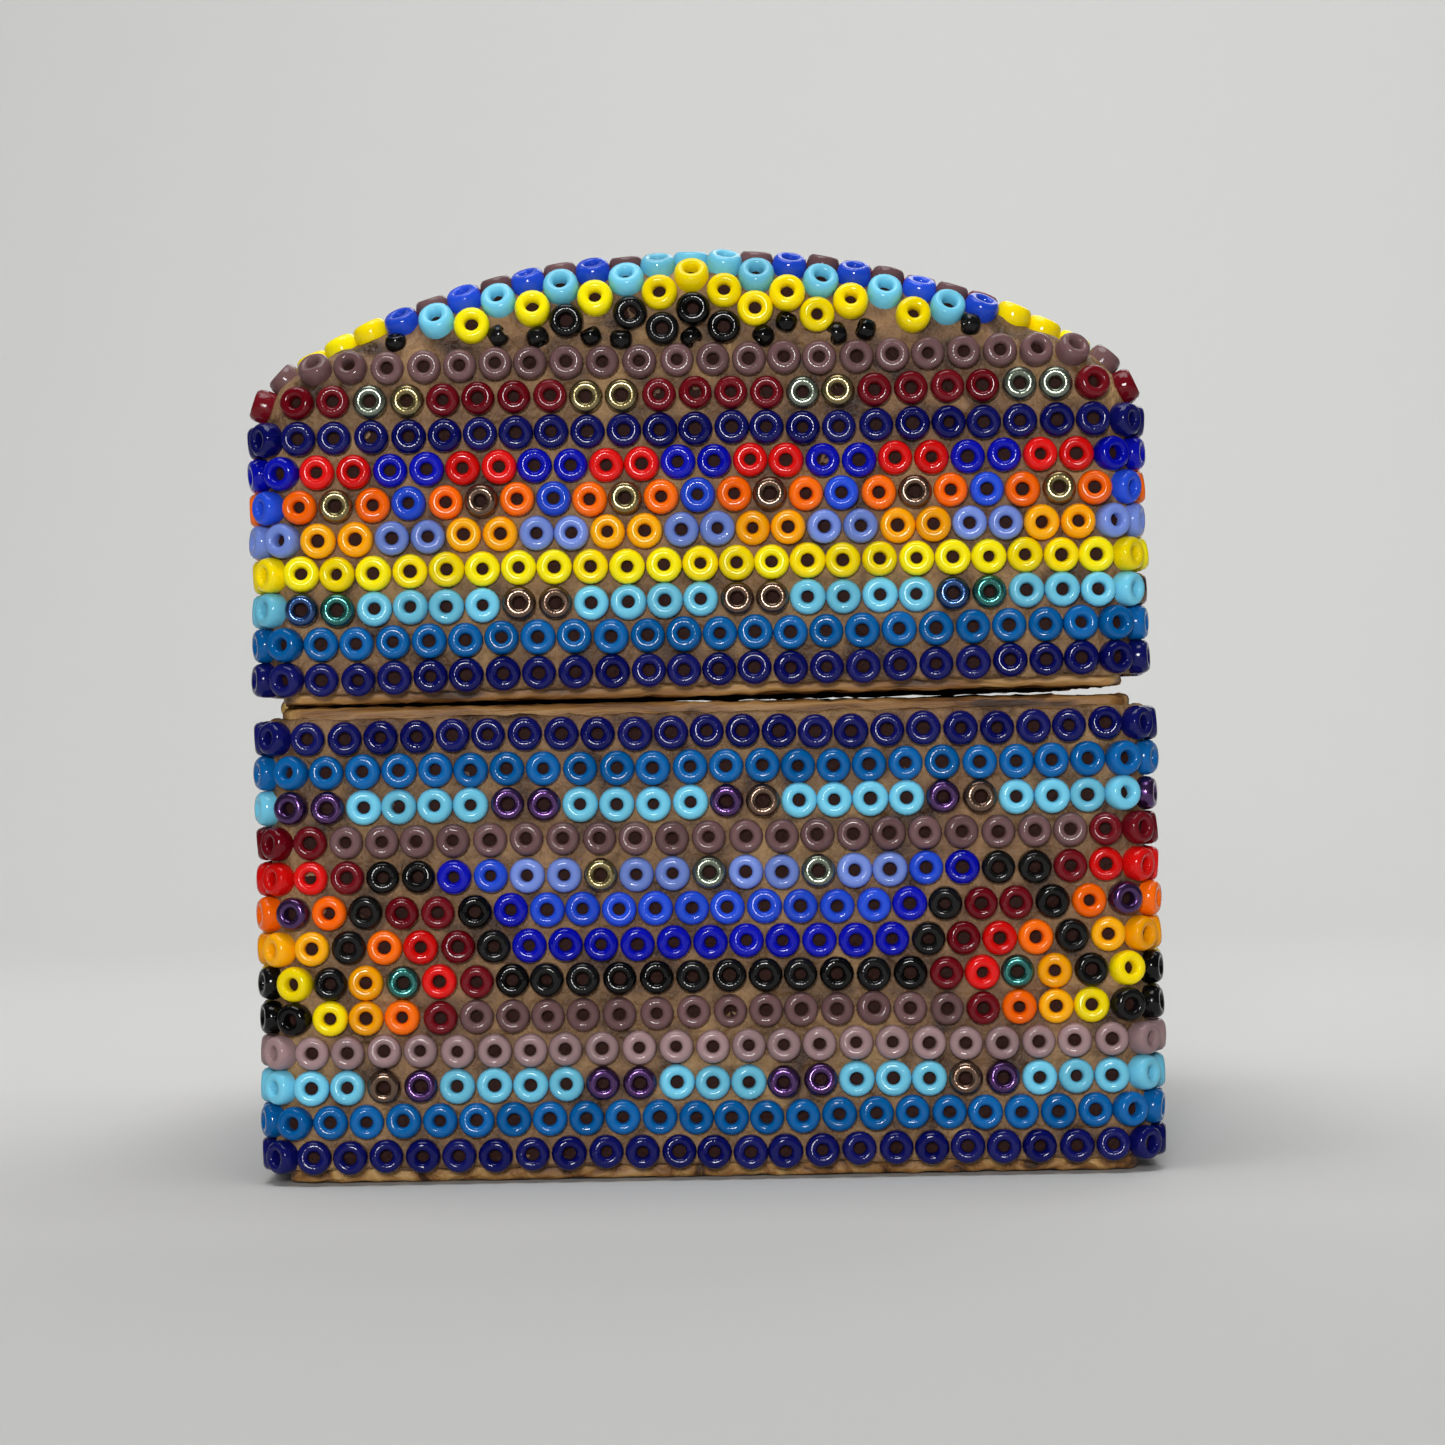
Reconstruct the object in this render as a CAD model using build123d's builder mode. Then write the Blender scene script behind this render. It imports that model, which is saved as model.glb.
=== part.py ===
from build123d import *
import math
import os
import random

# A small wooden trinket chest with a domed lid, covered in glass seed beads pressed into beeswax.
# Millimetres, +Z up. The D-shaped end with the stepped bead pattern faces -Y, the hinge side is -X.

# ---- wood ----
base_width = 49.9
lid_width = 49.4
box_depth = 62.8
base_height = 27.9
board = 3.2
edge_radius = 1.6
arch_radius = 48.4
arch_top = 24.7
shoulder_radius = 3.7
shoulder_z = 15.76
rail_top = 15.5

# ---- how the lid sits ----
lid_shift = -0.2
lid_gap = 0.05
lid_tilt = 0.46

# ---- wax and beads ----
wax_thickness = 0.8
rim_bare = 0.6
foot_bare = 0.8
bead_lift = 0.9
bead_outside = 2.0
bead_hole = 0.8
bead_length = 1.4
filler_outside = 1.1
filler_hole = 0.4
filler_length = 0.9
bead_lean = 0.05
bead_nudge = 0.006
bead_sunk = 0.04
bead_proud = 0.02
least_room = 2.02
beads_round = 108
column_pitch = 2.136
column_spacing = 1.938
last_column = 14
last_column_step = 1.98
first_base_row = 1.8
first_lid_row = 1.63
base_nested = 2.02
base_square = 2.08
lid_nested = 1.97
lid_square = 2.06

# ---- hinges ----
hinge_at = [-8.4, 14.0]
pin_x = -25.9
pin_z = base_height + lid_gap / 2
knuckle_radius = 0.7
pin_radius = 0.35
pin_clearance = 0.05
leaf_length = 11.0
leaf_height = 4.2
leaf_thickness = 0.4
leaf_start = 1.0
leaf_margin = 1.15
middle_knuckle = 3.6
knuckle_gap = 0.15
web_reach = 0.95
web_height = 0.8
web_middle = 0.7
pin_head_step = 0.3
pin_head_length = 0.4
nail_radius = 0.35
nail_head = 0.7
nail_head_height = 0.3
nail_length = 3
nail_spread = 3.6

# ---- bead colours, one letter each in the pattern strings ----
colour_names = {
    "N": "navy", "A": "azure", "S": "sky", "M": "maroon", "R": "red", "O": "orange",
    "Y": "amber", "L": "yellow", "K": "black", "V": "mauve", "W": "pale_mauve",
    "C": "cobalt", "B": "royal", "P": "periwinkle", "I": "iris",
}

half_depth = box_depth / 2
bend = edge_radius + bead_lift
end_flat = half_depth - edge_radius
quarter_turn = math.pi / 2 * bend
lid_half = lid_width / 2 + bead_lift
vault_radius = arch_radius + bead_lift
vault_centre_z = arch_top - arch_radius
shoulder_bend = shoulder_radius + bead_lift
shoulder_x = lid_width / 2 - shoulder_radius
shoulder_rise = math.acos(shoulder_x / (arch_radius - shoulder_radius))
vault_half = vault_radius * (math.pi / 2 - shoulder_rise)

hand = random.Random(11)
base_beads = {}
lid_beads = {}
lid_end_points = []

to_lid = Location((lid_shift, 0, base_height + lid_gap))
lid_pose = (
    Location((pin_x, 0, pin_z))
    * Location((0, 0, 0), (0, -lid_tilt, 0))
    * Location((-pin_x, 0, -pin_z))
    * to_lid
)
hinge_pose = lid_pose * to_lid.inverse()

os.makedirs("parts", exist_ok=True)


def save(shape, name):
    shape.label = name
    export_step(shape, f"parts/{name}.step")


# ---- wood and wax outlines ----

def base_block(grow, bottom, top):
    with BuildPart() as block:
        with BuildSketch(Plane.XY.offset(bottom)):
            RectangleRounded(base_width + 2 * grow, box_depth + 2 * grow, edge_radius + grow)
        extrude(amount=top - bottom)
    return block.part


def lid_block(grow, length, end_radius):
    half = lid_width / 2 + grow
    radius = arch_radius + grow
    top = arch_top + grow
    spring = top - radius + math.sqrt(radius**2 - half**2)
    with BuildPart() as block:
        with BuildSketch(Plane.XZ) as outline:
            with BuildLine():
                Polyline((half, spring), (half, 0), (-half, 0), (-half, spring))
                ThreePointArc((-half, spring), (0, top), (half, spring))
            make_face()
            shoulders = outline.vertices().group_by(Axis.Y)[-1]
            fillet(shoulders, radius=shoulder_radius + grow)
        extrude(amount=length / 2, both=True)
        if end_radius:
            ends = block.faces().filter_by(Axis.Y)
            rims = [edge for face in ends for edge in face.edges() if edge.center().Z > 0.01]
            fillet(rims, radius=end_radius)
    return block.part


# ---- beads ----

def bead(outside, hole, length):
    wall = (outside - hole) / 2
    flat = hole / 2 + wall * 0.55
    with BuildPart() as one:
        with BuildSketch(Plane.XZ):
            with BuildLine():
                Polyline(
                    (flat, length / 2), (hole / 2, length / 2),
                    (hole / 2, -length / 2), (flat, -length / 2),
                )
                ThreePointArc((flat, -length / 2), (outside / 2, 0), (flat, length / 2))
            make_face()
        revolve(axis=Axis.Z)
    return one.part.solid()


seed_bead = bead(bead_outside, bead_hole, bead_length)
filler_bead = bead(filler_outside, filler_hole, filler_length)


def jitter(limit):
    """A small random offset, since every bead is pressed in by hand."""
    return Vector(hand.uniform(-limit, limit), hand.uniform(-limit, limit), hand.uniform(-limit, limit))


def put(store, letter, centre, facing, shape=seed_bead):
    """Keeps one bead: its colour, where its middle is, and which way its hole looks."""
    facing = (Vector(*facing).normalized() + jitter(bead_lean)).normalized()
    middle = Vector(*centre) + jitter(bead_nudge) + facing * hand.uniform(-bead_sunk, bead_proud)
    store.setdefault(letter, []).append((shape, middle, facing))


def under_hinge(x, y, height):
    """True where a hinge leaf lies on the hinge side, height being the distance from the seam."""
    if x > -lid_width * 0.4 or height > leaf_start + leaf_height + leaf_margin:
        return False
    return any(abs(y - middle) < leaf_length / 2 + leaf_margin for middle in hinge_at)


def loop_point(along, half_x, half_y):
    """Point and facing on the rounded loop round the box, going right from the middle of the front."""
    flat_x = half_x - bend
    flat_y = half_y - bend
    corners = [(-flat_x, -flat_y), (flat_x, -flat_y), (flat_x, flat_y), (-flat_x, flat_y)]
    walls = [2 * flat_x, 2 * flat_y, 2 * flat_x, 2 * flat_y]
    rest = (along + flat_x) % (sum(walls) + 4 * quarter_turn)
    for side in range(4):
        heading = math.radians(90 * side)
        facing = heading - math.pi / 2
        slide = min(rest, walls[side])
        rest -= walls[side]
        if rest < 0:
            break
        if rest < quarter_turn:
            facing += rest / bend
            break
        rest -= quarter_turn
    x = corners[side][0] + slide * math.cos(heading) + bend * math.cos(facing)
    y = corners[side][1] + slide * math.sin(heading) + bend * math.sin(facing)
    return x, y, (math.cos(facing), math.sin(facing), 0)


def lay_loop(store, ring, z, half_x, seam):
    """One row of beads all the way round; a ring has a letter for each bead from the front left corner."""
    phase, letters = ring
    lead = 12 + phase
    loop = 4 * (half_x - bend) + 4 * end_flat + 4 * quarter_turn
    for place, letter in enumerate(letters):
        along = (place - lead) * loop / beads_round
        x, y, facing = loop_point(along, half_x, half_depth + bead_lift)
        if not under_hinge(x, y, abs(seam - z)):
            put(store, letter, (x, y, z), facing)


def repeat(unit, phase):
    return phase, (unit * beads_round)[:beads_round]


def panel(edge, fill, count):
    middle = (fill * count)[: count - 2 * len(edge)]
    return edge + middle + edge[::-1]


def motif(edge, fill, phase):
    """The stepped pattern, once on each side; the corner beads belong to the front and the back."""
    ends = panel(edge, fill, 25 + int(2 * phase))
    sides = panel(edge[1:], fill, 29 - int(2 * phase))
    return phase, ends + sides + ends + sides


# ---- bead rows on the base, from the seam down ----
base_rings = [
    repeat("N", 0),
    repeat("A", 0.5),
    repeat("SIISSS", 0.5),
    motif("MM", "V", 0),
    motif("RRMKKCB", "PPI", 0),
    motif("OIOKMMKC", "B", 0.5),
    motif("YYKORMK", "C", 0),
    motif("KLKYIRM", "K", 0.5),
    motif("KKLYOM", "V", 0.5),
    repeat("W", 0),
    (0, "SSSIISSSSIISSSIISSSIISSSS" + ("SSIISS" * 14)[:83]),
    repeat("A", 0.5),
    repeat("N", 0),
]

row_z = base_height - first_base_row
row_phase = None
for ring in base_rings:
    if row_phase is not None:
        row_z -= base_square if ring[0] == row_phase else base_nested
    row_phase = ring[0]
    lay_loop(base_beads, ring, row_z, base_width / 2 + bead_lift, base_height)

# ---- bead rows on the lid, from the seam up ----
lid_rings = [
    repeat("N", 0.5),
    repeat("A", 0.5),
    repeat("SIISSS", 0),
    repeat("L", 0),
    repeat("PPYY", 0.5),
    repeat("BOIO", 0),
    repeat("CCRR", 0.5),
    repeat("N", 0),
]

row_z = first_lid_row
row_phase = None
for ring in lid_rings:
    if row_phase is not None:
        row_z += lid_square if ring[0] == row_phase else lid_nested
    row_phase = ring[0]
    lay_loop(lid_beads, ring, row_z, lid_half, 0)
for beads in lid_beads.values():
    lid_end_points += [middle for _, middle, _ in beads if middle.Z > row_z - 0.5]


# ---- the lid's ends above the straight rows ----

def outline_depth(x, z):
    """How far a point lies inside the lid's bead outline, and the outward direction there."""
    over = math.hypot(abs(x) - shoulder_x, z - shoulder_z)
    rise = math.atan2(z - shoulder_z, abs(x) - shoulder_x)
    if 0 <= rise < shoulder_rise:
        return shoulder_bend - over, (math.copysign(math.cos(rise), x), math.sin(rise))
    reach = math.hypot(x, z - vault_centre_z)
    return vault_radius - reach, (x / reach, (z - vault_centre_z) / reach)


def end_point(x, z, side):
    """Point and facing on an end face, or on the rounding between it and the vault."""
    depth, out = outline_depth(x, z)
    lean = math.asin(min(1, max(0, (bend - depth) / bend)))
    y = side * (end_flat + bend * math.cos(lean))
    facing = (out[0] * math.sin(lean), side * math.cos(lean), out[1] * math.sin(lean))
    return (x, y, z), facing


def lay_end_row(unit, phase, reach, z):
    """A straight row on both end faces, from -reach to +reach beads from the middle."""
    pitch = (4 * (lid_half - bend) + 4 * end_flat + 4 * quarter_turn) / beads_round
    for side in (-1, 1):
        for place in range(-12, 13):
            if abs(place + phase) <= reach:
                centre, facing = end_point((place + phase) * pitch, z, side)
                put(lid_beads, unit[place % len(unit)], centre, facing)
                lid_end_points.append(Vector(*centre))


maroon_z = row_z + lid_square
mauve_z = maroon_z + lid_nested
lay_end_row("MMMIIM", 0, 11, maroon_z)
lay_end_row("V", 0.5, 10.5, mauve_z)


# ---- the vault: columns of beads that run along it and turn down over both ends ----

def vault_point(around, along):
    """Point and facing on the vault, around the arch from its crown and along the chest from its middle."""
    sign = math.copysign(1, around)
    if abs(around) < vault_half:
        angle = abs(around) / vault_radius
        out = (sign * math.sin(angle), math.cos(angle))
        inner = ((vault_radius - bend) * out[0], vault_centre_z + (vault_radius - bend) * out[1])
    else:
        rise = shoulder_rise - (abs(around) - vault_half) / shoulder_bend
        out = (sign * math.cos(rise), math.sin(rise))
        inner = (
            sign * (shoulder_x + (shoulder_bend - bend) * math.cos(rise)),
            shoulder_z + (shoulder_bend - bend) * math.sin(rise),
        )
    end = math.copysign(1, along)
    over = abs(along) - end_flat
    lean = min(math.pi / 2, max(0, over / bend))
    drop = max(0, over - quarter_turn)
    lift = bend * math.cos(lean) - drop
    y = along if over < 0 else end * (end_flat + bend * math.sin(lean))
    centre = (inner[0] + lift * out[0], y, inner[1] + lift * out[1])
    facing = (out[0] * math.cos(lean), end * math.sin(lean), out[1] * math.cos(lean))
    return centre, facing


def flower_letter(around, along):
    """An eight-petalled flower on a blue ground, in the middle of the vault."""
    reach = math.hypot(around, along)
    petals = 1 - 0.2 * math.cos(8 * math.atan2(along, around))
    rings = "LORMKSCBVWK"
    place = int((reach * petals + 0.9) / 1.95)
    return rings[place] if place < len(rings) else "A"


def vault_letter(column, steps, around, along):
    """Bands that follow both ends, peaked in the middle column; steps are half pitches from the end."""
    bands = "LLSBVMROYLK"
    steps -= {0: 2, 1: 1}.get(abs(column), 0)
    if abs(column) == last_column:
        return "MMMIIM"[steps // 2 % 6]
    if abs(column) == last_column - 1:
        return "V"
    if steps == 0 and column in (-2, -4) and along < 0:
        return "K"
    if steps < 0:
        return "K"
    return bands[steps] if steps < len(bands) else flower_letter(around, along)


def room_at(centre, points):
    return min((Vector(*centre) - point).length for point in points)


end_face_points = list(lid_end_points)
for column in range(-last_column, last_column + 1):
    around = column * column_spacing
    if abs(column) == last_column:
        around += math.copysign(last_column_step - column_spacing, column)
    phase = column % 2 / 2
    kept = []
    for place in range(-18, 18):
        along = (place + phase) * column_pitch
        centre, facing = vault_point(around, along)
        if room_at(centre, lid_end_points) > least_room:
            kept.append((32 - 2 * abs(place + phase), along, centre, facing))
    # near the shoulders the straight rows take the room of the first beads, so the bands start further in
    first = min(steps for steps, *_ in kept) if abs(column) > 9 else 0
    for steps, along, centre, facing in kept:
        put(lid_beads, vault_letter(column, round(steps - first), around, along), centre, facing)
        if abs(centre[1]) > end_flat - bead_outside:
            end_face_points.append(Vector(*centre))


def fill_gaps(shape, outside, standing):
    """Black beads wherever one more of this size fits between the straight rows and the vault."""
    for side in (-1, 1):
        for place in range(-140, 141):
            x = place * 0.14
            for height in (1.35, 1.5, 1.65, 1.8, 1.95, 2.1, 2.25, 2.4):
                z = mauve_z + height
                centre, facing = end_point(x, z, side)
                fits = room_at(centre, end_face_points) > (bead_outside + outside) / 2 + 0.03
                if fits and outline_depth(x, z)[0] > 1.2:
                    sideways = (math.cos(place), 0.3 * side, math.sin(place))
                    put(lid_beads, "K", centre, facing if standing else sideways, shape)
                    end_face_points.append(Vector(*centre))


fill_gaps(seed_bead, bead_outside, True)
fill_gaps(filler_bead, filler_outside, False)


# ---- hinges ----

def across(radius, length, middle, hole=0):
    """A round piece along the hinge line."""
    with BuildPart() as piece:
        with Locations((pin_x, middle, pin_z)):
            Cylinder(radius, length, rotation=(90, 0, 0))
            if hole:
                Cylinder(hole, length, rotation=(90, 0, 0), mode=Mode.SUBTRACT)
    return piece.part


def nail(x, y, z):
    """A round-headed nail driven in along +X, its head lying on the leaf at x."""
    with BuildPart() as piece:
        with BuildSketch(Plane.XZ):
            with BuildLine():
                Polyline(
                    (0.1, nail_head_height), (0, nail_head_height), (0, -nail_length), (0.08, -nail_length),
                    (nail_radius, 0.5 - nail_length), (nail_radius, 0), (nail_head, 0),
                )
                ThreePointArc(
                    (nail_head, 0), (nail_head * 0.66, nail_head_height * 0.73), (0.1, nail_head_height),
                )
            make_face()
        revolve(axis=Axis.Z)
    return piece.part.moved(Location((x, y, z), (0, -90, 0)))


leaf_middle = leaf_start + leaf_height / 2
lid_face = lid_shift - lid_width / 2
side_length = (leaf_length - middle_knuckle) / 2 - knuckle_gap
base_face = -base_width / 2
base_nails = []
lid_nails = []
for middle in hinge_at:
    outer = [middle - (leaf_length - side_length) / 2, middle + (leaf_length - side_length) / 2]
    base_pair = []
    lid_pair = []
    for spread in (-nail_spread, nail_spread):
        base_pair.append(nail(base_face - leaf_thickness, middle + spread, pin_z - leaf_middle))
        lid_pair.append(nail(lid_face - leaf_thickness, middle + spread, pin_z + leaf_middle))
    with BuildPart() as base_leaf:
        with Locations((base_face - leaf_thickness / 2, middle, pin_z - leaf_middle)):
            Box(leaf_thickness, leaf_length, leaf_height)
        for place in outer:
            with Locations((base_face - web_reach / 2, place, pin_z - web_middle)):
                Box(web_reach, side_length, web_height)
            add(across(knuckle_radius, side_length, place))
            add(across(pin_radius, side_length, place), mode=Mode.SUBTRACT)
        for one in base_pair:
            add(one, mode=Mode.SUBTRACT)
    with BuildPart() as lid_leaf:
        with Locations((lid_face - leaf_thickness / 2, middle, pin_z + leaf_middle)):
            Box(leaf_thickness, leaf_length, leaf_height)
        with Locations((lid_face - web_reach / 2, middle, pin_z + web_middle)):
            Box(web_reach, middle_knuckle, web_height)
        add(across(knuckle_radius, middle_knuckle, middle))
        add(across(pin_radius + pin_clearance, middle_knuckle, middle), mode=Mode.SUBTRACT)
        for one in lid_pair:
            add(one, mode=Mode.SUBTRACT)
    base_nails += base_pair
    lid_nails += lid_pair
    with BuildPart() as hinge_pin:
        add(across(pin_radius, leaf_length + 0.1, middle))
        for end in (-1, 1):
            place = middle + end * (leaf_length / 2 + 0.05 + pin_head_length / 2)
            add(across(pin_radius + pin_head_step, pin_head_length, place))
    number = hinge_at.index(middle) + 1
    save(base_leaf.part, f"hinge_{number}_base_leaf")
    save(lid_leaf.part.moved(hinge_pose), f"hinge_{number}_lid_leaf")
    save(hinge_pin.part, f"hinge_{number}_pin")

save(Compound([one.solid() for one in base_nails]), "base_hinge_nails")
save(Compound([one.solid().moved(hinge_pose) for one in lid_nails]), "lid_hinge_nails")


# ---- wood ----

def end_slab(side):
    with BuildPart() as slab:
        with Locations((0, side * (half_depth - board / 2), 0)):
            Box(100, board, 100)
    return slab.part


def side_slab(side, low, high):
    with BuildPart() as slab:
        with Locations((side * 25, 0, (low + high) / 2)):
            Box(50, box_depth - 2 * board, high - low)
    return slab.part


base_walls = base_block(0, board, base_height)
with BuildPart() as base_floor_board:
    add(base_block(0, 0, board))
save(base_floor_board.part, "base_floor_board")

for side, name in ((-1, "base_front_end_board"), (1, "base_rear_end_board")):
    with BuildPart() as end_board:
        add(base_walls)
        add(end_slab(side), mode=Mode.INTERSECT)
    save(end_board.part, name)

for side, name in ((-1, "base_hinge_side_board"), (1, "base_open_side_board")):
    with BuildPart() as side_board:
        add(base_walls)
        add(side_slab(side, board, base_height), mode=Mode.INTERSECT)
        with Locations((0, 0, base_height / 2)):
            Box(base_width - 2 * board, box_depth, base_height + 1, mode=Mode.SUBTRACT)
        if side < 0:
            for one in base_nails:
                add(one, mode=Mode.SUBTRACT)
    save(side_board.part, name)

lid_outer = lid_block(0, box_depth, edge_radius)
lid_hollow = lid_block(-board, box_depth, 0)
for side, name in ((-1, "lid_front_end_panel"), (1, "lid_rear_end_panel")):
    with BuildPart() as end_panel:
        add(lid_outer)
        add(end_slab(side), mode=Mode.INTERSECT)
    save(end_panel.part.moved(lid_pose), name)

lid_pieces = (
    ("lid_hinge_side_rail", side_slab(-1, 0, rail_top)),
    ("lid_open_side_rail", side_slab(1, 0, rail_top)),
)
for name, slab in lid_pieces:
    with BuildPart() as rail:
        add(lid_outer)
        add(slab, mode=Mode.INTERSECT)
        add(lid_hollow, mode=Mode.SUBTRACT)
        if name == "lid_hinge_side_rail":
            for one in lid_nails:
                add(one.moved(to_lid.inverse()), mode=Mode.SUBTRACT)
    save(rail.part.moved(lid_pose), name)

with BuildPart() as lid_arched_top:
    add(lid_outer)
    with Locations((0, 0, rail_top + 10)):
        Box(100, box_depth - 2 * board, 20, mode=Mode.INTERSECT)
    add(lid_hollow, mode=Mode.SUBTRACT)
save(lid_arched_top.part.moved(lid_pose), "lid_arched_top")


# ---- wax ----

def hinge_windows(face, seam, side):
    """The places left free of wax under and round the hinge leaves."""
    with BuildPart() as windows:
        for middle in hinge_at:
            with Locations((face, middle, seam + side * (leaf_start + leaf_height + 0.3) / 2)):
                Box(4, leaf_length + 0.9, leaf_start + leaf_height + 0.3)
    return windows.part


with BuildPart() as base_wax_coat:
    add(base_block(wax_thickness, foot_bare, base_height - rim_bare))
    add(base_block(0, 0, base_height), mode=Mode.SUBTRACT)
    add(hinge_windows(-base_width / 2, base_height, -1), mode=Mode.SUBTRACT)
save(base_wax_coat.part, "base_wax_coat")

with BuildPart() as lid_wax_coat:
    add(lid_block(wax_thickness, box_depth + 2 * wax_thickness, edge_radius + wax_thickness))
    with Locations((0, 0, rim_bare / 2)):
        Box(100, 100, rim_bare, mode=Mode.SUBTRACT)
    add(lid_outer, mode=Mode.SUBTRACT)
    add(hinge_windows(-lid_width / 2, 0, 1), mode=Mode.SUBTRACT)
save(lid_wax_coat.part.moved(lid_pose), "lid_wax_coat")

# ---- each colour of beads on each half is one group of separate solids ----
for store, half, pose in ((base_beads, "base", Location()), (lid_beads, "lid", lid_pose)):
    for letter, beads in sorted(store.items()):
        laid = [
            shape.moved(pose * Plane(origin=middle, z_dir=facing).location)
            for shape, middle, facing in beads
        ]
        save(Compound(laid), f"{half}_beads_{colour_names[letter]}")
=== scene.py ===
import math
import random

import bmesh
import bpy
import numpy as np
from mathutils import Euler, Matrix, Vector, noise


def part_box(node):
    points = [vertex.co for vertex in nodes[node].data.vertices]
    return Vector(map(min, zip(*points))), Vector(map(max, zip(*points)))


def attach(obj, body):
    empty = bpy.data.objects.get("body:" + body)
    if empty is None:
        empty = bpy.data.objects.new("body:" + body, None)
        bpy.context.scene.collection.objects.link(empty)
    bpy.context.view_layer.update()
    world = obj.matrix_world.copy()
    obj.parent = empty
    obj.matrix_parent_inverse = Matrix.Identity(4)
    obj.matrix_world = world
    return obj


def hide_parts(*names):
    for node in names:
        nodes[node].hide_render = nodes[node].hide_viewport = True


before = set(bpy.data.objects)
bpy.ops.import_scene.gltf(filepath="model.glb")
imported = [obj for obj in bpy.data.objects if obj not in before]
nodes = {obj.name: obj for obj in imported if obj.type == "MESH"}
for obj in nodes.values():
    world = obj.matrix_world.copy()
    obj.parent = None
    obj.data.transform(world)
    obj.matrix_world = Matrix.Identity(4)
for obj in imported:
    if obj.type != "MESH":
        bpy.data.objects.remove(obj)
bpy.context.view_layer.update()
hand = random.Random(7)


def body_of(name):
    return "lid" if name.startswith("lid_") or name.endswith("_lid_leaf") else "base"


def add_object(name, data):
    """A new object that shows the given mesh, light or camera."""
    piece = bpy.data.objects.new(name, data)
    bpy.context.scene.collection.objects.link(piece)
    return piece


def shade_smooth(mesh):
    mesh.polygons.foreach_set("use_smooth", np.ones(len(mesh.polygons), bool))


# ---- materials ----

def new_material(name, roughness, metallic=0.0):
    mat = bpy.data.materials.new(name)
    mat.use_nodes = True
    shader = mat.node_tree.nodes["Principled BSDF"]
    shader.inputs["Roughness"].default_value = roughness
    shader.inputs["Metallic"].default_value = metallic
    return mat, mat.node_tree, shader


def add_node(tree, kind, **values):
    node = tree.nodes.new(kind)
    for key, value in values.items():
        if key in node.inputs:
            node.inputs[key].default_value = value
        else:
            setattr(node, key, value)
    return node


def place_vector(tree, scale=(1, 1, 1)):
    """Object coordinates in metres, stretched by scale."""
    where = add_node(tree, "ShaderNodeTexCoord")
    mapping = add_node(tree, "ShaderNodeMapping")
    mapping.inputs["Scale"].default_value = scale
    tree.links.new(where.outputs["Object"], mapping.inputs["Vector"])
    return mapping.outputs["Vector"]


def noise_value(tree, vector, scale, detail, distortion=0.0):
    tex = add_node(tree, "ShaderNodeTexNoise", Scale=scale, Detail=detail, Distortion=distortion)
    tree.links.new(vector, tex.inputs["Vector"])
    return tex.outputs["Fac"]


def ramp(tree, value, stops):
    node = add_node(tree, "ShaderNodeValToRGB")
    ends = node.color_ramp.elements
    while len(ends) < len(stops):
        ends.new(0.5)
    for end, (place, color) in zip(ends, stops):
        end.position = place
        end.color = (*color, 1)
    tree.links.new(value, node.inputs["Fac"])
    return node.outputs["Color"]


def multiply(tree, first, second, factor):
    """The first colour darkened by the second one."""
    node = add_node(tree, "ShaderNodeMix", data_type="RGBA", blend_type="MULTIPLY")
    node.inputs["Factor"].default_value = factor
    tree.links.new(first, node.inputs["A"])
    tree.links.new(second, node.inputs["B"])
    return node.outputs["Result"]


def span(tree, value, low, high):
    node = add_node(tree, "ShaderNodeMapRange")
    node.inputs["To Min"].default_value = low
    node.inputs["To Max"].default_value = high
    tree.links.new(value, node.inputs["Value"])
    return node.outputs["Result"]


def bump(tree, shader, height, distance, strength):
    node = add_node(tree, "ShaderNodeBump", Distance=distance, Strength=strength)
    tree.links.new(height, node.inputs["Height"])
    tree.links.new(node.outputs["Normal"], shader.inputs["Normal"])


shade_spread = 0.12

bead_colors = {
    "navy": (0.004, 0.005, 0.10),
    "azure": (0.002, 0.112, 0.36),
    "sky": (0.16, 0.56, 0.76),
    "maroon": (0.14, 0.003, 0.008),
    "red": (0.68, 0.006, 0.005),
    "orange": (1.0, 0.14, 0.001),
    "amber": (1.0, 0.385, 0.001),
    "yellow": (1.0, 0.76, 0.001),
    "black": (0.004, 0.004, 0.004),
    "mauve": (0.150, 0.078, 0.080),
    "pale_mauve": (0.32, 0.205, 0.21),
    "cobalt": (0.003, 0.005, 0.40),
    "royal": (0.016, 0.070, 0.62),
    "periwinkle": (0.165, 0.25, 0.65),
}

iris_tints = {
    "gold": (0.24, 0.19, 0.08),
    "bronze": (0.15, 0.09, 0.06),
    "teal": (0.03, 0.17, 0.15),
    "blue": (0.025, 0.07, 0.20),
    "violet": (0.08, 0.03, 0.13),
    "silver": (0.19, 0.22, 0.17),
}

# the iris tints change from row to row: those of the beads above each height, from the top down
iris_rows = [
    (0.043, ("gold", "silver")),
    (0.036, ("gold", "bronze")),
    (0.030, ("teal", "blue", "bronze")),
    (0.020, ("bronze", "violet")),
    (0.017, ("silver", "teal", "gold")),
    (0.0145, ("violet", "teal")),
    (0.010, ("teal", "violet")),
    (0.0, ("bronze", "violet", "violet")),
]


def glass_shades(name, color):
    """Three shades of one opaque glass colour, since no two beads of a batch are quite alike."""
    shades = []
    for number, step in enumerate((-shade_spread, 0, shade_spread)):
        mat, tree, shader = new_material(f"glass_{name}_{number}", 0.09 + 0.03 * number)
        tint = [min(1, max(0, c * (1 + step) + 0.012 * step)) for c in color]
        shader.inputs["Base Color"].default_value = (*tint, 1)
        shader.inputs["IOR"].default_value = 1.52
        shader.inputs["Specular IOR Level"].default_value = 0.26
        uneven = noise_value(tree, place_vector(tree), 2600, 2)
        bump(tree, shader, uneven, 0.00006, 0.35)
        shades.append(mat)
    return shades


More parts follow.
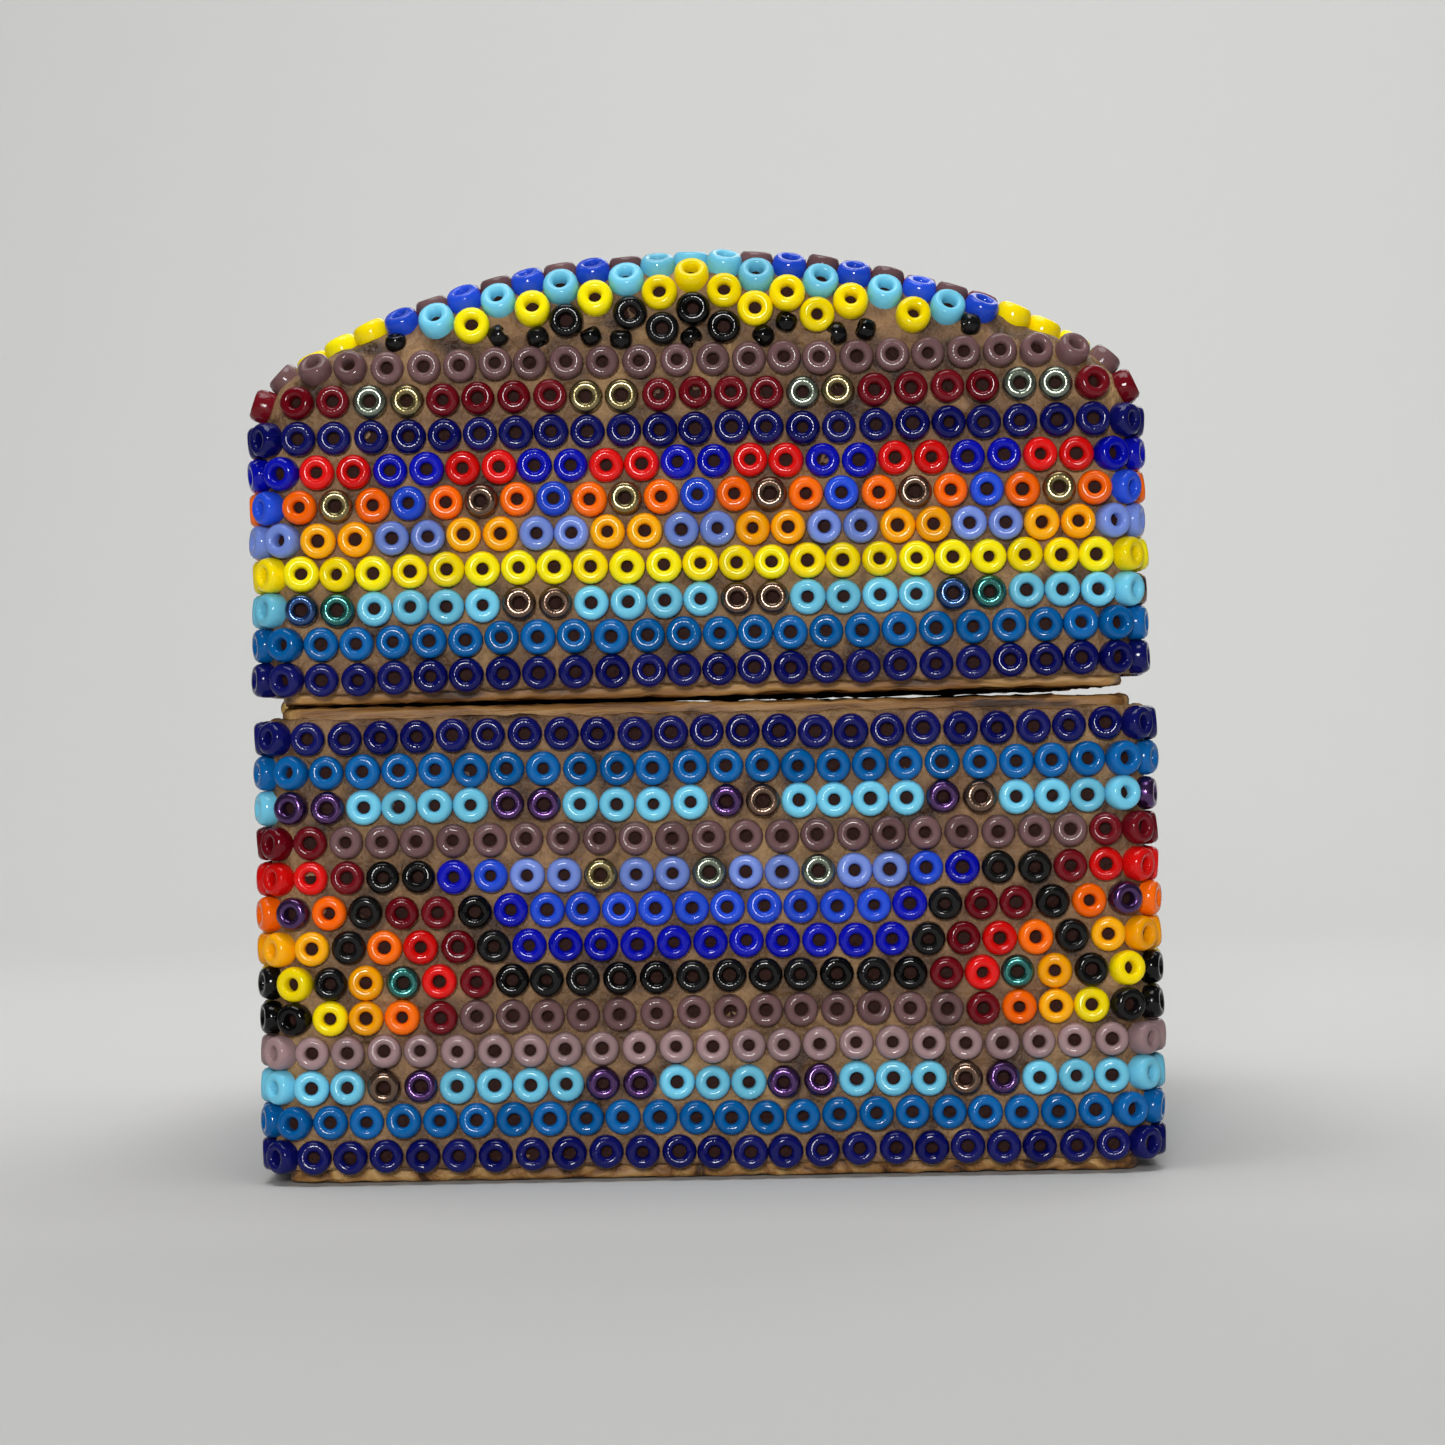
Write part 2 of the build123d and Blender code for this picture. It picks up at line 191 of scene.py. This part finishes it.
def iris_shades():
    """Dark glass with a metallic oil-slick finish, one shade for each tint."""
    shades = []
    for name, color in iris_tints.items():
        mat, tree, shader = new_material(f"iris_{name}", 0.24, 0.85)
        shader.inputs["Base Color"].default_value = (*color, 1)
        shader.inputs["Coat Weight"].default_value = 0.5
        shader.inputs["Coat Roughness"].default_value = 0.06
        uneven = noise_value(tree, place_vector(tree), 1900, 3)
        bump(tree, shader, uneven, 0.00008, 0.5)
        shades.append(mat)
    return shades


def iris_choice(middle):
    """The number of one of the tints that a bead at this height may have."""
    tints = next(tints for floor, tints in iris_rows if middle.z > floor)
    return list(iris_tints).index(tints[hand.randrange(len(tints))])


def any_shade(middle):
    return hand.randrange(3)


def wax_material():
    """Dark beeswax, blotched with darker grime and paler specks."""
    mat, tree, shader = new_material("beeswax", 0.5)
    spots = noise_value(tree, place_vector(tree), 420, 8, 0.6)
    tone = ramp(tree, spots, [
        (0.32, (0.055, 0.024, 0.010)),
        (0.48, (0.22, 0.125, 0.058)),
        (0.70, (0.46, 0.29, 0.14)),
    ])
    patches = noise_value(tree, place_vector(tree), 95, 3)
    warmth = ramp(tree, patches, [(0.35, (0.80, 0.70, 0.66)), (0.65, (1.0, 0.96, 0.82))])
    tree.links.new(multiply(tree, tone, warmth, 1.0), shader.inputs["Base Color"])
    tree.links.new(span(tree, spots, 0.38, 0.66), shader.inputs["Roughness"])
    shader.inputs["Subsurface Weight"].default_value = 0.12
    shader.inputs["Subsurface Radius"].default_value = (0.0006, 0.0003, 0.00015)
    lumps = noise_value(tree, place_vector(tree), 1300, 6)
    bump(tree, shader, lumps, 0.0006, 0.9)
    return mat


def painted_shade_plug_material():
    """Wax seen deep in the beads' holes, far darker than the wax between the beads: painted shade in the
    holes.
    """
    mat, tree, shader = new_material("hole_wax_painted_shade", 0.6)
    # near black: the shade deep in the hole painted into the wax colour
    shader.inputs["Base Color"].default_value = (0.030, 0.010, 0.007, 1)
    shader.inputs["Specular IOR Level"].default_value = 0.1
    bump(tree, shader, noise_value(tree, place_vector(tree), 2400, 4), 0.0002, 0.8)
    return mat


def wood_material(name, stretch):
    """Bare pale wood with darker stains; stretch makes the grain run along one axis."""
    mat, tree, shader = new_material(name, 0.5)
    grain = noise_value(tree, place_vector(tree, stretch), 620, 9, 0.9)
    stains = noise_value(tree, place_vector(tree), 60, 4)
    light = ramp(tree, grain, [
        (0.36, (0.07, 0.028, 0.008)),
        (0.44, (0.30, 0.135, 0.035)),
        (0.54, (0.46, 0.24, 0.07)),
        (0.68, (0.66, 0.41, 0.15)),
    ])
    dirt = ramp(tree, stains, [(0.35, (0.55, 0.46, 0.38)), (0.6, (1, 1, 1))])
    tree.links.new(multiply(tree, light, dirt, 0.8), shader.inputs["Base Color"])
    tree.links.new(span(tree, grain, 0.62, 0.38), shader.inputs["Roughness"])
    bump(tree, shader, grain, 0.0006, 0.9)
    return mat


def brass_material():
    """Brass with duller tarnish in blotches and fine scratches along the pins."""
    mat, tree, shader = new_material("aged_brass", 0.3, 1.0)
    tarnish = noise_value(tree, place_vector(tree), 700, 6, 0.5)
    color = ramp(tree, tarnish, [
        (0.3, (0.18, 0.10, 0.03)),
        (0.5, (0.50, 0.32, 0.10)),
        (0.7, (0.72, 0.50, 0.19)),
    ])
    tree.links.new(color, shader.inputs["Base Color"])
    tree.links.new(span(tree, tarnish, 0.5, 0.22), shader.inputs["Roughness"])
    scratches = noise_value(tree, place_vector(tree, (1, 0.15, 1)), 5000, 3)
    bump(tree, shader, scratches, 0.00005, 0.4)
    return mat


# ---- beads: each CAD bead is read for its place, and a rounder bead is put there ----

# vertices of one mesh closer than this are one vertex
weld_distance = 2e-6

# a bead's mesh: vertices round the hole, round the wall, and round the wax disc in the hole
ring_count = 20
wall_count = 12
plug_count = 10
bead_vertices = ring_count * wall_count + plug_count + 1

# a CAD bead of a smaller radius than this is one of the small fillers
small_radius = 0.0008

# how much larger than the CAD bead each colour's batch is, where it is larger at all
batch_growth = {
    "yellow": 1.06, "sky": 1.055, "amber": 1.05, "periwinkle": 1.04, "azure": 1.035,
    "navy": 1.025, "orange": 1.04, "red": 1.035, "royal": 1.03, "cobalt": 1.03,
    "pale_mauve": 1.015,
}

# what varies from bead to bead, as shares of its radius or length
bead_growth = (0.985, 1.02)
filler_growth = (1.12, 1.22)
length_growth = (0.94, 1.06)
hole_share = (0.31, 0.37)
out_of_round = (0.985, 1.0)
plug_height = (-0.04, 0.04)

# the wax disc's edge lies inside the glass, just past the hole
plug_width = 1.02

# powers that shape a bead's section: 1 gives an ellipse, and less gives a squarer one
outer_power = 0.9
rim_power, crown_power = 0.55, 0.75
filler_rim_power, filler_crown_power = 0.9, 1.0

# the vertices of a CAD bead up to this many times as far from its middle as the nearest are its rims
rim_reach = 1.04

# how far a bead leans, in radians, and how far it strays from its row
lean = (-0.07, 0.07)
drift_scale = 110
drift_reach = 0.00016
own_stray = (-0.00003, 0.00003)


def solid_groups(mesh):
    """The vertex positions of each separate closed piece in a mesh."""
    co = np.zeros(len(mesh.vertices) * 3, np.float32)
    mesh.vertices.foreach_get("co", co)
    co = co.reshape(-1, 3).astype(float)
    rounded = np.round(co / weld_distance).astype(np.int64)
    _, weld = np.unique(rounded, axis=0, return_inverse=True)
    weld = weld.ravel()
    corner = np.zeros(len(mesh.loops), np.int32)
    mesh.loops.foreach_get("vertex_index", corner)
    faces = weld[corner].reshape(-1, 3)
    label = np.arange(weld.max() + 1)
    while True:
        low = label[faces].min(axis=1)
        fresh = label.copy()
        np.minimum.at(fresh, faces.ravel(), np.repeat(low, 3))
        fresh = fresh[fresh]
        if (fresh == label).all():
            break
        label = fresh
    owner = label[weld]
    order = np.argsort(owner, kind="stable")
    cuts = np.flatnonzero(np.diff(owner[order])) + 1
    return [co[part] for part in np.split(order, cuts)]


def bead_frame(points):
    """Middle, hole direction, outer radius and length of one bead, from its vertices.
    The vertices nearest the middle are the two rims of the hole."""
    middle = (points.max(0) + points.min(0)) / 2
    reach = np.linalg.norm(points - middle, axis=1)
    rims = points[reach < rim_reach * reach.min()]
    axis = np.linalg.eigh(np.cov((rims - rims.mean(0)).T))[1][:, 2]
    along = (points - middle) @ axis
    middle = middle + axis * (along.max() + along.min()) / 2
    from_middle = points - middle
    across = np.linalg.norm(from_middle - np.outer(from_middle @ axis, axis), axis=1)
    return Vector(middle), Vector(axis), across.max(), along.max() - along.min()


def strayed(middle):
    """Rows pressed in by hand wander: neighbours move together, and each bead a bit on its own."""
    drift = noise.noise_vector(middle * drift_scale) * drift_reach
    return middle + drift + Vector([hand.uniform(*own_stray) for _ in range(3)])


def bead_points(radius, length):
    """A fire-polished seed bead: round outside, a crisp rim to its hole, and wax deep in the hole."""
    hole = radius * hand.uniform(*hole_share)
    middle = (radius + hole) / 2
    half_wall = (radius - hole) / 2
    squash = hand.uniform(*out_of_round)
    turn = hand.uniform(0, 2 * math.pi)
    rim, crown = rim_power, crown_power
    if radius <= small_radius:
        rim, crown = filler_rim_power, filler_crown_power
    points = []
    for i in range(ring_count):
        angle = 2 * math.pi * i / ring_count + turn
        for j in range(wall_count):
            around = 2 * math.pi * (j + 0.5) / wall_count
            c, s = math.cos(around), math.sin(around)
            out = middle + half_wall * math.copysign(abs(c) ** (outer_power if c > 0 else rim), c)
            up = length / 2 * math.copysign(abs(s) ** crown, s)
            points.append((out * math.cos(angle), out * math.sin(angle) * squash, up))
    edge = hole * plug_width
    for i in range(plug_count):
        angle = 2 * math.pi * i / plug_count + turn
        height = hand.uniform(*plug_height) * length
        points.append((edge * math.cos(angle), edge * math.sin(angle), height))
    points.append((0, 0, hand.uniform(*plug_height) * length))
    return np.array(points)


def ring_faces():
    quads = []
    for i in range(ring_count):
        for j in range(wall_count):
            a = i * wall_count + j
            b = i * wall_count + (j + 1) % wall_count
            c = (i + 1) % ring_count * wall_count + (j + 1) % wall_count
            d = (i + 1) % ring_count * wall_count + j
            quads.append((a, d, c, b))
    return np.array(quads)


def plug_faces():
    rim = ring_count * wall_count
    return np.array([(rim + i, rim + (i + 1) % plug_count, rim + plug_count) for i in range(plug_count)])


def bead_piece(name, shades, choose, batch):
    places = [bead_frame(points) for points in solid_groups(nodes[name].data)]
    verts = []
    shade_of = []
    for middle, axis, radius, length in places:
        turn = axis.to_track_quat("Z", "Y").to_matrix()
        tilt = Euler([hand.uniform(*lean) for _ in range(3)]).to_matrix()
        regular = radius > small_radius
        grow = batch * hand.uniform(*bead_growth) if regular else hand.uniform(*filler_growth)
        points = bead_points(radius * grow, length * hand.uniform(*length_growth))
        verts.append(points @ np.array(turn @ tilt).T + np.array(strayed(middle)))
        shade_of.append(choose(middle))
    starts = np.arange(len(places))[:, None, None] * bead_vertices
    verts = np.concatenate(verts)
    quads = (one_ring[None] + starts).reshape(-1, 4)
    fans = (one_plug[None] + starts).reshape(-1, 3)
    mesh = bpy.data.meshes.new(name + "_glass")
    mesh.from_pydata(verts.tolist(), [], quads.tolist() + fans.tolist())
    for mat in shades:
        mesh.materials.append(mat)
    mesh.materials.append(hole_wax_painted_shade)
    glass = np.repeat(shade_of, ring_count * wall_count)
    plugs = np.full(len(fans), len(shades))
    mesh.polygons.foreach_set("material_index", np.concatenate([glass, plugs]).astype(np.int32))
    shade_smooth(mesh)
    mesh.update()
    piece = add_object(name + "_glass", mesh)
    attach(piece, body_of(name))
    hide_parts(name)


one_ring = ring_faces()
one_plug = plug_faces()
hole_wax_painted_shade = painted_shade_plug_material()
shades = {name: glass_shades(name, color) for name, color in bead_colors.items()}
shades["iris"] = iris_shades()
for name in sorted(nodes):
    if "_beads_" in name:
        kind = name.split("_beads_")[1]
        choose = iris_choice if kind == "iris" else any_shade
        bead_piece(name, shades[kind], choose, batch_growth.get(kind, 1.0))


# ---- wood, wax and brass: the CAD shapes with softened, worn edges ----

# angles in radians: flatter edges are dissolved, and sharper ones are rounded
flat_angle = 0.02
sharp_angle = 0.6

# the wear of a surface rises and falls with a noise, and takes away more than it adds
wear_scale = 900
wear_middle = -0.4

# edges are halved until they are shorter than the piece's cut, but no more often than this
most_halvings = 6


def split_large_faces(bm):
    bmesh.ops.triangulate(bm, faces=[f for f in bm.faces if len(f.verts) > 4])


def worn_copy(name, mat, bevel, wear, cut):
    """The node's own shape with its edges rounded by bevel, no edge much longer than cut, and its
    surface moved by noise, from 1.4 times wear inward to 0.6 times wear outward."""
    mesh = nodes[name].data.copy()
    mesh.name = name + "_worn"
    bm = bmesh.new()
    bm.from_mesh(mesh)
    bmesh.ops.remove_doubles(bm, verts=bm.verts, dist=weld_distance)
    bmesh.ops.dissolve_limit(bm, angle_limit=flat_angle, verts=bm.verts, edges=bm.edges)
    sharp = [e for e in bm.edges if len(e.link_faces) == 2 and e.calc_face_angle(0) > sharp_angle]
    bmesh.ops.bevel(
        bm, geom=sharp, offset=bevel, segments=2, profile=0.5, affect="EDGES", clamp_overlap=True
    )
    split_large_faces(bm)
    for _ in range(most_halvings):
        long = [e for e in bm.edges if e.calc_length() > cut]
        if not long:
            break
        bmesh.ops.subdivide_edges(bm, edges=long, cuts=1, use_grid_fill=True)
        split_large_faces(bm)
    bm.normal_update()
    for v in bm.verts:
        v.co += v.normal * wear * (noise.noise(v.co * wear_scale) + wear_middle)
    bm.to_mesh(mesh)
    bm.free()
    mesh.materials.clear()
    mesh.materials.append(mat)
    shade_smooth(mesh)
    piece = add_object(name + "_worn", mesh)
    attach(piece, body_of(name))
    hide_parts(name)
    return piece


# what is less than this below the rear board's top moves up towards the lid
seam_band = 0.0015


def close_seam(piece):
    """The rear board's top edge rises towards the tilted lid, most at the opening side, so that less
    light shows through the seam. It touches the lid's rear panel, and the seam stays open in part."""
    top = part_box("base_rear_end_board")[1]
    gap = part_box("lid_open_side_rail")[0][2] - top[2]
    for v in piece.data.vertices:
        if v.co.z > top[2] - seam_band:
            v.co.z += gap * max(0, v.co.x + top[0]) / (2 * top[0])


grain_x = wood_material("wood_grain_x", (0.12, 1, 1))
grain_y = wood_material("wood_grain_y", (1, 0.12, 1))
brass = brass_material()
wax = wax_material()
for name in sorted(nodes):
    if "_beads_" in name:
        continue
    if "wax" in name:
        worn_copy(name, wax, 0.0003, 0.00022, 0.0007)
    elif name.startswith("hinge") or "nails" in name:
        worn_copy(name, brass, 0.00008, 0.00001, 0.001)
    else:
        along_x = "end" in name
        piece = worn_copy(name, grain_x if along_x else grain_y, 0.0003, 0.00022, 0.0009)
        if name == "base_rear_end_board":
            close_seam(piece)


# ---- stage ----

# the paper backdrop, seen from the side: floor to the front, a quarter-round bend, then the wall
paper_half_width = 1.5
paper_front = -0.6
bend_radius = 0.25
bend_steps = 16
wall_top = 1.2
paper_drop = 0.00002

camera_place = (0.00095, -0.293, 0.0266)
camera_roll = -1.0


def backdrop():
    mesh = bpy.data.meshes.new("backdrop")
    sweep = [
        (bend_radius + bend_radius * math.sin(a), bend_radius - bend_radius * math.cos(a))
        for a in np.linspace(0, math.pi / 2, bend_steps)
    ]
    path = [(paper_front, 0.0)] + sweep + [(2 * bend_radius, wall_top)]
    sides = (-paper_half_width, paper_half_width)
    verts = [(x, y, z - paper_drop) for y, z in path for x in sides]
    faces = [(2 * i, 2 * i + 1, 2 * i + 3, 2 * i + 2) for i in range(len(path) - 1)]
    mesh.from_pydata(verts, [], faces)
    shade_smooth(mesh)
    mat, _, shader = new_material("backdrop_paper", 0.9)
    shader.inputs["Base Color"].default_value = (0.60, 0.60, 0.585, 1)
    mesh.materials.append(mat)
    piece = add_object("backdrop", mesh)


def lamp(name, place, aim, size, power):
    data = bpy.data.lights.new(name, "AREA")
    data.size = size
    data.energy = power
    piece = add_object(name, data)
    piece.location = place
    piece.rotation_euler = (Vector(aim) - Vector(place)).to_track_quat("-Z", "Y").to_euler()


backdrop()
lamp("front_soft", place=(-0.035, -0.62, 0.15), aim=(0, 0, 0.03), size=0.10, power=2.0)
lamp("top_soft", place=(-0.03, -0.12, 0.50), aim=(0, 0, 0.02), size=0.30, power=1.35)
lamp("wall_wash", place=(0, 0.10, 0.40), aim=(0, 0.5, 0.16), size=0.40, power=1.0)
lamp("back_soft", place=(0.12, 0.42, 0.40), aim=(0, 0, 0.03), size=0.30, power=0.6)
world = bpy.data.worlds.new("room")
world.use_nodes = True
world.node_tree.nodes["Background"].inputs["Color"].default_value = (0.80, 0.82, 0.84, 1)
world.node_tree.nodes["Background"].inputs["Strength"].default_value = 0.09
bpy.context.scene.world = world
bpy.context.scene.view_settings.view_transform = "Standard"

camera_data = bpy.data.cameras.new("camera")
camera_data.lens = 111.4
camera_data.sensor_width = 36
camera = add_object("camera", camera_data)
camera.matrix_world = (
    Matrix.Translation(camera_place)
    @ Matrix.Rotation(math.pi / 2, 4, "X")
    @ Matrix.Rotation(math.radians(camera_roll), 4, "Z")
)
bpy.context.scene.camera = camera
